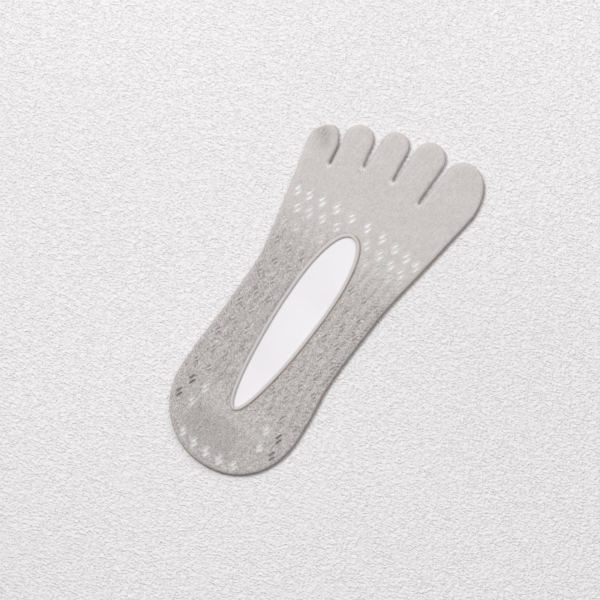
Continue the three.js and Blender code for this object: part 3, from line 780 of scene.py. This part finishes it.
def build_knit():
    """The knitted shell: outer face, inner face, and the walls of the mouth and the slits."""
    outer_levels = RIM_REACH * (1 - np.cos(np.radians(OUTER_RIM_TURNS)))
    inner_levels = KNIT_WALL + (RIM_REACH - KNIT_WALL) * (1 - np.cos(np.radians(INNER_RIM_TURNS)))
    slit_holes = [slit_loop(slit, 0, SLIT_POINTS) for slit in SLITS]
    holes = [MOUTH - normals(MOUTH) * MOUTH_HOLE, *slit_holes]
    halo = np.vstack([slit_loop(slit, SLIT_LIP, SLIT_POINTS) for slit in SLITS])
    halo_painted_light = np.repeat([LIP_PAINTED_LIGHT_AND_SHADE * slit[3] for slit in SLITS], SLIT_POINTS)

    # Close points round the slits and the mouth, with no two in one cell
    close = np.vstack([halo, *(MOUTH - normals(MOUTH) * grow for grow in FRINGE)])
    cells = np.unique(np.round(close / FRINGE_CELL).astype(int), axis=0, return_index=True)[1]
    fringe = clear_of(close[np.sort(cells)], slit_holes, SLIT_CLEARANCE)

    def off_mouth(spacing, from_slits, from_mouth):
        grid = clear_of(scattered(OUTLINE, RIM_REACH, spacing), slit_holes, from_slits)
        gap, _ = nearest(grid, MOUTH)
        return grid[(gap > from_mouth) & ~inside(grid, MOUTH)]

    rings = np.vstack(inset_rings(OUTLINE, outer_levels))
    inner_outline, *inner_rings = inset_rings(OUTLINE, inner_levels)
    inner_rings = np.vstack(inner_rings)
    outer_points = [clear_of(rings, slit_holes, SLIT_CLEARANCE), fringe]
    outer_points.append(off_mouth(FABRIC_SPACING, 0.55, 4.4))
    inner_points = [clear_of(inner_rings, slit_holes, SLIT_CLEARANCE)]
    inner_points.append(off_mouth(INNER_SPACING, 0.7, 2.6))
    sole_points = [rings, scattered(OUTLINE, RIM_REACH, SOLE_SPACING)]
    floor_points = [inner_rings, scattered(OUTLINE, RIM_REACH, INNER_FLOOR_SPACING)]
    pieces = [
        ("outer", *triangulated(OUTLINE, holes, np.vstack(outer_points))),
        ("inner", *triangulated(inner_outline, holes, np.vstack(inner_points))),
        ("sole", *triangulated(OUTLINE, [], np.vstack(sole_points))),
        ("floor", *triangulated(inner_outline, [], np.vstack(floor_points))),
    ]

    all_points, all_faces, all_painted_light = [], [], []
    # The slits' loops carry their painted light, and the dark slits' loops painted shade
    painted_light_of_kind = np.array([0, 0, *(slit[3] for slit in SLITS), 0])
    loops = {}
    start = 0
    for name, points, faces, kind in pieces:
        x, y = points[:, 0], points[:, 1]
        wall = 0 if name in ("outer", "sole") else KNIT_WALL
        edge, _ = nearest(points, OUTLINE)
        edge[kind == 0] = wall
        rise = rounded((edge - wall) / (RIM_REACH - wall))
        if name in ("outer", "inner"):
            z = RIM_MIDDLE + (upper_face(points) - wall - RIM_MIDDLE) * rise
        else:
            z = wall + (RIM_MIDDLE - wall) * (1 - rise)
        if name in ("inner", "sole"):
            faces = faces[:, ::-1]
        for k in np.unique(kind[kind >= 0]):
            loops[name, int(k)] = start + np.flatnonzero(kind == k)
        all_points.append(np.column_stack([x, y, z]))
        all_faces.append(faces + start)
        all_painted_light.append(painted_light_of_kind[kind])
        if name == "outer":
            # The lip round each slit carries part of the slit's painted light and shade
            lips = dict(zip(map(tuple, np.round(halo, 4)), halo_painted_light))
            all_painted_light[-1] += [lips.get(tuple(point), 0) for point in np.round(points, 4)]
        start += len(points)
    faces = np.vstack(all_faces)
    walls = []
    for k in range(1, len(holes) + 1):
        top, low = loops["outer", k], loops["inner", k]
        for i in range(len(top)):
            j = (i + 1) % len(top)
            walls += [(top[i], low[j], low[i]), (top[i], top[j], low[j])]
    faces = np.vstack([faces, np.array(walls)])
    # The sole and the inner floor share the loops of the outer and inner faces
    points = np.vstack(all_points)
    same = np.arange(len(points))
    same[loops["sole", 0]] = loops["outer", 0]
    same[loops["floor", 0]] = loops["inner", 0]
    faces = same[faces]
    used = np.unique(faces)
    number = np.full(len(points), -1)
    number[used] = np.arange(len(used))
    x, y = points[used, 0], points[used, 1]
    attributes = {
        "tone": knit_tone(x, y),
        "painted_slit_light_and_pale_thread": np.concatenate(all_painted_light)[used],
        "painted_shade": painted_rim_shade(x, y),
        "coarse": 1 - smooth_step(*COARSE_END, y),
        "ribs": np.column_stack(rib_place(x, y)),
        "fabric": fabric_place(x, y),
    }
    return new_object("knit_shell", points[used], number[faces], "sock_knit", "knit", **attributes)


def band_between(rings):
    """Quads between closed rings of equal length, as one run of faces."""
    count = len(rings[0])
    faces = []
    for k in range(len(rings) - 1):
        for i in range(count):
            j = (i + 1) % count
            faces.append((k * count + i, k * count + j, (k + 1) * count + j, (k + 1) * count + i))
    return faces


def build_edging():
    """The edging: a closed roll, finely ribbed across."""
    path = resampled(MOUTH - normals(MOUTH) * ROLL_WIDTH / 2, ROLL_STEP)
    out = -normals(path)
    _, steps, arc = edges_of(path)
    ribs = round(steps.sum() / RIB_PITCH)
    phase = 2 * math.pi * arc * ribs / steps.sum()
    middle = (EDGING_LOW + EDGING_HIGH) / 2
    rise = (EDGING_HIGH - EDGING_LOW) / 2
    rings = []
    for turn in np.linspace(0, 2 * math.pi, ROLL_SIDES, endpoint=False):
        lean = phase + RIB_LEAN * math.cos(turn)
        swell = 1 + RIB_SWELL * np.sin(lean) + 0.02 * np.sin(arc / 5.3) * math.cos(turn)
        reach = ROLL_WIDTH / 2 * math.cos(turn) * swell
        height = middle + rise * math.sin(turn) * swell
        rings.append(np.column_stack([path + out * reach[:, None], height]))
    faces = band_between([*rings, rings[0]])
    total = len(path) * len(rings)
    faces = [tuple(v % total for v in face) for face in faces]
    wale = np.tile(arc, len(rings)) / RIB_PITCH
    turned = np.repeat(np.arange(len(rings)), len(path)) / len(rings)
    fabric = np.column_stack([wale, turned * ROLL_COURSES, 0 * wale])
    return new_object("edging_roll", np.vstack(rings), faces, "mouth_band", "edging", fabric=fabric)


def flat_slab(outline, low, high, edge, spacing, surface=None):
    """A flat slab with a softly rounded edge. surface(x, y) is added to the upper face."""
    levels = [(1, low), (0.3, low + 0.3 * edge), (0, low + edge)]
    levels += [(0, high - edge), (0.3, high - 0.3 * edge), (1, high)]
    inward = normals(outline) * edge
    rings = [np.column_stack([outline + inward * share, np.full(len(outline), z)]) for share, z in levels]
    faces = band_between(rings)
    grid = scattered(outline, edge + spacing * 0.3, spacing)
    _, triangles, _ = triangulated(outline, [], grid)
    count = len(outline)
    top = count * (len(rings) - 1)
    extra = len(grid)
    lift = surface(grid[:, 0], grid[:, 1]) if surface else np.zeros(extra)
    lower = np.column_stack([grid, np.full(extra, low)])
    upper = np.column_stack([grid, high + lift])
    for triangle in triangles:
        under = [v if v < count else top + v for v in triangle]
        over = [top + v if v < count else top + v + extra for v in triangle]
        faces += [tuple(under[::-1]), tuple(over)]
    return np.vstack([*rings, lower, upper]), faces


def build_card():
    """The card, which ends short of the little toe's empty tip."""
    outline = relaxed(resampled(inset_rings(OUTLINE, [CARD_INSET])[0], CARD_STEP), 3)
    past = fold_across(outline[:, 0], outline[:, 1]) + CARD_SHORT
    at_toe = (outline[:, 0] < CARD_TOE_SIDE) & (outline[:, 1] > TIP_START[0]) & (past > 0)
    lean = math.radians(TOES[0][2])
    axis = np.array([-math.sin(lean), math.cos(lean)])
    outline[at_toe] -= (past[at_toe] / CARD_PULL)[:, None] * axis
    outline = relaxed(resampled(outline, CARD_STEP), 2)
    points, faces = flat_slab(outline, CARD_BOTTOM, CARD_TOP, CARD_EDGE, CARD_SPACING)
    return new_object("insert_card", points, faces, "foot_card", "card")


def build_grip():
    """The pad inside the heel, with rows of small round studs."""
    turns = np.linspace(0, 2 * math.pi, 96, endpoint=False)
    half = np.array(GRIP_SIZE) / 2 - GRIP_CORNER
    corner = np.column_stack([np.sign(np.cos(turns)) * half[0], np.sign(np.sin(turns)) * half[1]])
    circle = np.column_stack([np.cos(turns), np.sin(turns)])
    outline = resampled(np.array(GRIP_CENTRE) + corner + GRIP_CORNER * circle, GRIP_STEP)
    pitch, row_pitch = STUD_PITCH

    def studs(x, y):
        row = np.round((y - GRIP_CENTRE[1]) / row_pitch)
        shift = pitch / 2 * (row % 2)
        dx = (x - GRIP_CENTRE[0] - shift + pitch / 2) % pitch - pitch / 2
        dy = (y - GRIP_CENTRE[1]) - row * row_pitch
        return STUD_HEIGHT * np.exp(-((np.hypot(dx, dy) / STUD_RADIUS) ** 4))

    high = GRIP_LOW + GRIP_THICK - STUD_HEIGHT
    points, faces = flat_slab(outline, GRIP_LOW, high, GRIP_EDGE, GRIP_SPACING, studs)
    return new_object("grip_pad", points, faces, "heel_grip", "grip")


def build_tacks():
    """Short stitches that close the knit at the crotches of the toes."""
    points, faces = [], []
    sides = range(TACK_SIDES)
    for number, crotch in enumerate(CROTCHES):
        for side_step, down, lean in TACKS:
            centre = crotch + (side_step, -down)
            turn = math.radians(lean + TACK_FAN * (number - 1.5))
            run = np.array([math.sin(turn), math.cos(turn)])
            side = np.array([run[1], -run[0]])
            start = len(points)
            at = np.linspace(-1, 1, TACK_STEPS)
            middles = centre + run * at[:, None] * TACK_LENGTH / 2
            edge, _ = nearest(middles, OUTLINE)
            heights = knit_height(middles[:, 0], middles[:, 1])
            heights = RIM_MIDDLE + (heights - RIM_MIDDLE) * rounded(edge / RIM_REACH)
            for t, middle, base in zip(at, middles, heights):
                thick = TACK_THICK * math.sqrt(max(0.08, 1 - t**4))
                for j in sides:
                    a = 2 * math.pi * j / TACK_SIDES
                    lift = base + TACK_ARCH * (1 - t * t) + thick * math.sin(a)
                    points.append([*(middle + side * thick * math.cos(a)), lift])
            for i in range(TACK_STEPS - 1):
                a, b = start + i * TACK_SIDES, start + (i + 1) * TACK_SIDES
                for j in sides:
                    after = (j + 1) % TACK_SIDES
                    faces.append((a + j, b + j, b + after, a + after))
            last = start + (TACK_STEPS - 1) * TACK_SIDES
            faces.append(tuple(start + j for j in sides))
            faces.append(tuple(last + j for j in reversed(sides)))
    points = np.array(points)
    attributes = {
        "tone": np.ones(len(points)),
        "painted_slit_light_and_pale_thread": np.full(len(points), TACK_PALE),
        "fabric": fabric_place(points[:, 0], points[:, 1]),
    }
    return new_object("crotch_tacks", points, faces, None, "knit", **attributes)


class Nodes:
    """Short calls for building a material's nodes."""

    def __init__(self, name, roughness, specular=0.3, sheen=0.0):
        self.material = bpy.data.materials.new(name)
        self.material.use_nodes = True
        self.tree = self.material.node_tree
        self.tree.nodes.clear()
        output = self.tree.nodes.new("ShaderNodeOutputMaterial")
        self.shader = self.tree.nodes.new("ShaderNodeBsdfPrincipled")
        self.shader.inputs["Roughness"].default_value = roughness
        self.shader.inputs["Specular IOR Level"].default_value = specular
        self.shader.inputs["Sheen Weight"].default_value = sheen
        self.tree.links.new(self.shader.outputs[0], output.inputs[0])

    def put(self, socket, value):
        if isinstance(value, bpy.types.NodeSocket):
            self.tree.links.new(value, socket)
        else:
            socket.default_value = value

    def node(self, kind, settings=None, **inputs):
        made = self.tree.nodes.new("ShaderNode" + kind)
        for key, value in (settings or {}).items():
            setattr(made, key, value)
        for key, value in inputs.items():
            self.put(made.inputs[key.replace("_", " ")], value)
        return made

    def math(self, operation, *values, kind="Math"):
        made = self.node(kind, {"operation": operation})
        for socket, value in zip(made.inputs, values):
            self.put(socket, value)
        return made.outputs[0]

    def millimetres(self):
        place = self.node("TexCoord").outputs["Object"]
        return self.math("MULTIPLY", place, (1000, 1000, 1000), kind="VectorMath")

    def noise(self, vector, scale, detail=2.0, rough=0.5):
        made = self.node("TexNoise", Vector=vector, Scale=scale, Detail=detail, Roughness=rough)
        return made.outputs["Fac"]

    def attribute(self, name, output="Fac"):
        return self.node("Attribute", {"attribute_name": name}).outputs[output]

    def uneven(self, factor, contrast, base, middle=0.5):
        """Adds a factor's difference from its middle to the base, times the contrast."""
        return self.math("MULTIPLY_ADD", self.math("SUBTRACT", factor, middle), contrast, base)

    def ramp(self, factor, low, high, dark, painted_slit_light_and_pale_thread):
        """A colour between two, as the factor goes from low to high."""
        share = self.node("MapRange", Value=factor, From_Min=low, From_Max=high).outputs[0]
        return self.blend(share, dark, painted_slit_light_and_pale_thread)

    def blend(self, share, first, second):
        """Goes from the first colour to the second as the share goes from 0 to 1."""
        made = self.node("Mix", {"data_type": "RGBA"}, Factor=share)
        self.put(made.inputs[6], first)
        self.put(made.inputs[7], second)
        return made.outputs[2]

    def bump(self, height, distance, strength=1.0, under=None):
        made = self.node("Bump", Height=height, Distance=distance, Strength=strength)
        if under:
            self.put(made.inputs["Normal"], under)
        return made.outputs[0]

    def finish(self, colour, normal, *pieces):
        self.put(self.shader.inputs["Base Color"], colour)
        self.put(self.shader.inputs["Normal"], normal)
        for piece in pieces:
            piece.data.materials.clear()
            piece.data.materials.append(self.material)


def stitches(n, vector):
    """Height of plain knit: columns of V-shaped stitches. The vector is in stitches."""
    parts = n.node("SeparateXYZ", Vector=vector)
    wale = n.math("FRACT", parts.outputs[0])
    leg = n.math("ABSOLUTE", n.math("MULTIPLY_ADD", wale, 2.0, -1.0))
    course = n.math("FRACT", n.math("MULTIPLY_ADD", leg, 0.55, parts.outputs[1]))
    along = n.math("SINE", n.math("MULTIPLY", course, math.pi))
    across = n.math("SINE", n.math("MULTIPLY", leg, math.pi))
    across = n.math("POWER", n.math("MAXIMUM", across, 0.001), 0.6)
    return n.math("MULTIPLY", n.math("POWER", along, 0.7), across)


# What each unevenness adds to the knit's tone, how much grain the toes keep, and the tones that
# the knit's two colours stand for
PATCH_CONTRAST = 0.35
SPECK_CONTRAST = 6.6
STREAK_CONTRAST = 1.7
STITCH_CONTRAST = 0.8
STROKE_CONTRAST = -0.7
FINE_GRAIN = 0.38
KNIT_TONES = (-0.9, 1.9)
# How far the painted shade on the rim and beside the edging darkens the knit
RIM_PAINTED_SHADE_DEPTH = 0.75

# Noises of the knit: scale, detail and roughness
PATCH_NOISE = (0.12, 3.0)
SPECK_NOISE = (1.55, 2.0, 0.7)
STREAK_NOISE = (1.0, 2.0, 0.6)
STREAK_STRETCH = (0.62, 0.2, 1.0)
YARN_NOISE = (1.0, 2.0, 0.6)

# Heights that the bumps stand for, in metres
STITCH_BUMP = 0.00022
YARN_BUMP = 0.0006
STREAK_BUMP = 0.0008
STROKE_BUMP = 0.0004
EDGING_BUMP = 0.00016
CARD_BUMP = 0.00003
GRIP_BUMP = 0.00005
FLOOR_BUMP = 0.00095


def dress_knit(*pieces):
    """Grey plain knit, with patches, grain, slanting stitches between the ribs, painted shade on the rim
    and beside the edging, and slits painted white as painted light, some dark as painted shade.
    """
    n = Nodes("knit_cloth", roughness=0.92, specular=0.12, sheen=0.08)
    place = n.millimetres()
    fabric = n.attribute("fabric", "Vector")
    painted_slit_light_and_pale_thread = n.attribute("painted_slit_light_and_pale_thread")
    knit = stitches(n, fabric)
    patch = n.noise(place, *PATCH_NOISE)
    speck = n.noise(place, *SPECK_NOISE)
    # Uneven tension shows as short streaks along the wales
    drawn = n.math("MULTIPLY", fabric, STREAK_STRETCH, kind="VectorMath")
    streak = n.noise(drawn, *STREAK_NOISE)
    # The sides beside the mouth are coarser than the ball and the toes
    coarse = n.math("MULTIPLY_ADD", n.attribute("coarse"), 1 - FINE_GRAIN, FINE_GRAIN)
    shade = n.uneven(patch, PATCH_CONTRAST, n.attribute("tone"))
    grain = n.math("MULTIPLY_ADD", speck, SPECK_CONTRAST, -SPECK_CONTRAST / 2)
    grain = n.uneven(streak, STREAK_CONTRAST, grain)
    grain = n.uneven(knit, STITCH_CONTRAST, grain, 0.6)
    shade = n.math("MULTIPLY_ADD", grain, coarse, shade)
    # A row of slanting stitches lies in each valley between two ribs
    ribs = n.node("SeparateXYZ", Vector=n.attribute("ribs", "Vector")).outputs
    valley = n.math("COSINE", n.math("MULTIPLY", ribs[0], 2 * math.pi))
    valley = n.math("MAXIMUM", n.math("MULTIPLY", valley, -1.0), 0.0)
    slant = n.math("MULTIPLY_ADD", ribs[0], 1.3, ribs[1])
    slant = n.math("MULTIPLY_ADD", n.math("SINE", n.math("MULTIPLY", slant, 2 * math.pi)), 0.5, 0.5)
    stroke = n.math("MULTIPLY", n.math("MULTIPLY", valley, ribs[2]), n.math("POWER", slant, 1.5))
    shade = n.math("MULTIPLY_ADD", stroke, STROKE_CONTRAST, shade)
    colour = n.ramp(shade, *KNIT_TONES, KNIT_DARK, KNIT_PALE)
    # Slits are painted white as painted light where the card shows through, and dark as painted shade
    # where they look into shade; the crotch tacks take their pale thread colour the same way
    colour = n.blend(n.math("MAXIMUM", painted_slit_light_and_pale_thread, 0.0), colour, SLIT_PAINTED_LIGHT_AND_PALE_THREAD)
    colour = n.blend(n.math("MAXIMUM", n.math("MULTIPLY", painted_slit_light_and_pale_thread, -1.0), 0.0), colour, SLIT_PAINTED_SHADE)
    # Painted shade on the rim away from the key light, and the edging's painted shadow, in a warm dark
    # colour
    colour = n.blend(n.math("MULTIPLY", n.attribute("painted_shade"), RIM_PAINTED_SHADE_DEPTH), colour, RIM_PAINTED_SHADE)
    yarn = n.noise(place, *YARN_NOISE)
    normal = n.bump(knit, STITCH_BUMP, 0.8)
    normal = n.bump(yarn, YARN_BUMP, n.math("MULTIPLY", coarse, 0.8), normal)
    normal = n.bump(streak, STREAK_BUMP, n.math("MULTIPLY", coarse, 0.6), normal)
    normal = n.bump(n.math("MULTIPLY", stroke, -1.0), STROKE_BUMP, 0.7, normal)
    n.finish(colour, normal, *pieces)


def dress_edging(*pieces):
    """Paler, finely ribbed knit."""
    n = Nodes("edging_knit", roughness=0.85, specular=0.2, sheen=0.1)
    ribs = stitches(n, n.attribute("fabric", "Vector"))
    speck = n.noise(n.millimetres(), 1.8, 2.0)
    colour = n.ramp(n.uneven(speck, 0.4, ribs), 0.0, 1.2, EDGING_DARK, EDGING_PALE)
    n.finish(colour, n.bump(ribs, EDGING_BUMP, 0.6), *pieces)


def dress_card(*pieces):
    """Smooth white board."""
    n = Nodes("card_board", roughness=0.55, specular=0.35)
    place = n.millimetres()
    fibre = n.noise(place, 0.7, 4.0, 0.6)
    broad = n.noise(place, 0.03, 2.0)
    colour = n.ramp(n.uneven(fibre, 0.25, broad), 0.3, 0.7, CARD_DARK, CARD_PALE)
    n.finish(colour, n.bump(fibre, CARD_BUMP, 0.4), *pieces)


def dress_grip(*pieces):
    """Soft grey rubber."""
    n = Nodes("grip_rubber", roughness=0.42, specular=0.5)
    cloud = n.noise(n.millimetres(), 0.4, 3.0)
    colour = n.ramp(cloud, 0.3, 0.7, GRIP_DARK, GRIP_PALE)
    n.finish(colour, n.bump(cloud, GRIP_BUMP, 0.4), *pieces)


def dress_floor(*pieces):
    """The pale, grained surface under the sock."""
    n = Nodes("floor_grain", roughness=0.6, specular=0.3)
    place = n.millimetres()
    # The grain runs across the picture
    grid = {"Rotation": (0, 0, -PICTURE_TURN), "Scale": (0.6, 1.0, 1.0)}
    turned = n.node("Mapping", {"vector_type": "POINT"}, Vector=place, **grid).outputs[0]
    warp = n.node("TexNoise", Vector=turned, Scale=0.3, Detail=2.0).outputs["Color"]
    bent = n.math("MULTIPLY_ADD", warp, (2.6, 2.6, 2.6), turned, kind="VectorMath")
    cells = {"Vector": bent, "Scale": 0.95, "Smoothness": 0.6}
    grain = n.node("TexVoronoi", {"feature": "SMOOTH_F1"}, **cells)
    fine = n.noise(turned, 1.5, 2.0, 0.6)
    height = n.math("MULTIPLY_ADD", fine, 0.5, grain.outputs["Distance"])
    tint = n.noise(place, 0.004, 1.0)
    colour = n.ramp(tint, 0.3, 0.7, FLOOR_DARK, FLOOR_PALE)
    n.finish(colour, n.bump(height, FLOOR_BUMP, 0.9), *pieces)


def srgb(*values):
    """Linear colour from 8-bit screen values."""
    shares = [v / 255 for v in values]
    return (*(s / 12.92 if s <= 0.04045 else ((s + 0.055) / 1.055) ** 2.4 for s in shares), 1)


KNIT_DARK = srgb(158, 153, 151)
KNIT_PALE = srgb(243, 238, 236)
# Painted shade for the rim and for the edging's shadow
RIM_PAINTED_SHADE = srgb(146, 122, 109)
# Painted light in the slits, also the tacks' pale thread
SLIT_PAINTED_LIGHT_AND_PALE_THREAD = srgb(253, 250, 247)
# Painted shade in the slits that look into the shaded rim
SLIT_PAINTED_SHADE = srgb(84, 77, 74)
EDGING_DARK = srgb(193, 188, 185)
EDGING_PALE = srgb(226, 222, 219)
GRIP_DARK = (0.42, 0.40, 0.39, 1)
GRIP_PALE = (0.52, 0.50, 0.49, 1)
CARD_DARK = srgb(231, 229, 232)
CARD_PALE = srgb(237, 235, 238)
FLOOR_DARK = srgb(238, 235, 236)
FLOOR_PALE = srgb(241, 239, 240)

knit = build_knit()
edging = build_edging()
card = build_card()
grip = build_grip()
tacks = build_tacks()
dress_knit(knit, tacks)
dress_edging(edging)
dress_card(card)
dress_grip(grip)

FLOOR_REACH = 2.0
floor_mesh = bpy.data.meshes.new("floor")
corners = [(x * FLOOR_REACH, y * FLOOR_REACH, 0) for x, y in ((-1, -1), (1, -1), (1, 1), (-1, 1))]
floor_mesh.from_pydata(corners, [], [(0, 1, 2, 3)])
floor = linked("floor", floor_mesh)
dress_floor(floor)

# The camera looks straight down, with the toes 35 degrees clockwise of the picture's up
CAMERA_AIM = (-0.0021, -0.0051)
CAMERA_HEIGHT = 1.1
VIEW_WIDTH = 0.3304
SENSOR_WIDTH = 36
camera_data = bpy.data.cameras.new("camera")
camera_data.sensor_width = SENSOR_WIDTH
camera_data.lens = SENSOR_WIDTH * CAMERA_HEIGHT / VIEW_WIDTH
camera = linked("camera", camera_data)
camera.location = (*CAMERA_AIM, CAMERA_HEIGHT)
camera.rotation_euler = (0, 0, PICTURE_TURN)
bpy.context.scene.camera = camera

# Lights: name, direction from the sock, distance and size in metres, and power in watts
LIGHTS = [
    ("key", (-0.8, 0.13, 1.5), 3.0, 1.2, 54.6),
    ("fill", (0.0, 0.69, 1.0), 1.5, 1.5, 8.4),
]
WORLD_STRENGTH = 0.28
for name, toward, distance, size, power in LIGHTS:
    data = bpy.data.lights.new(name, "AREA")
    data.size = size
    data.energy = power
    light = linked(name, data)
    direction = Vector(toward).normalized()
    light.location = direction * distance
    light.rotation_euler = direction.to_track_quat("Z", "Y").to_euler()
world = bpy.data.worlds.new("studio")
world.use_nodes = True
background = world.node_tree.nodes["Background"]
background.inputs["Color"].default_value = (1, 0.995, 1, 1)
background.inputs["Strength"].default_value = WORLD_STRENGTH
bpy.context.scene.world = world
bpy.context.scene.view_settings.view_transform = "Standard"
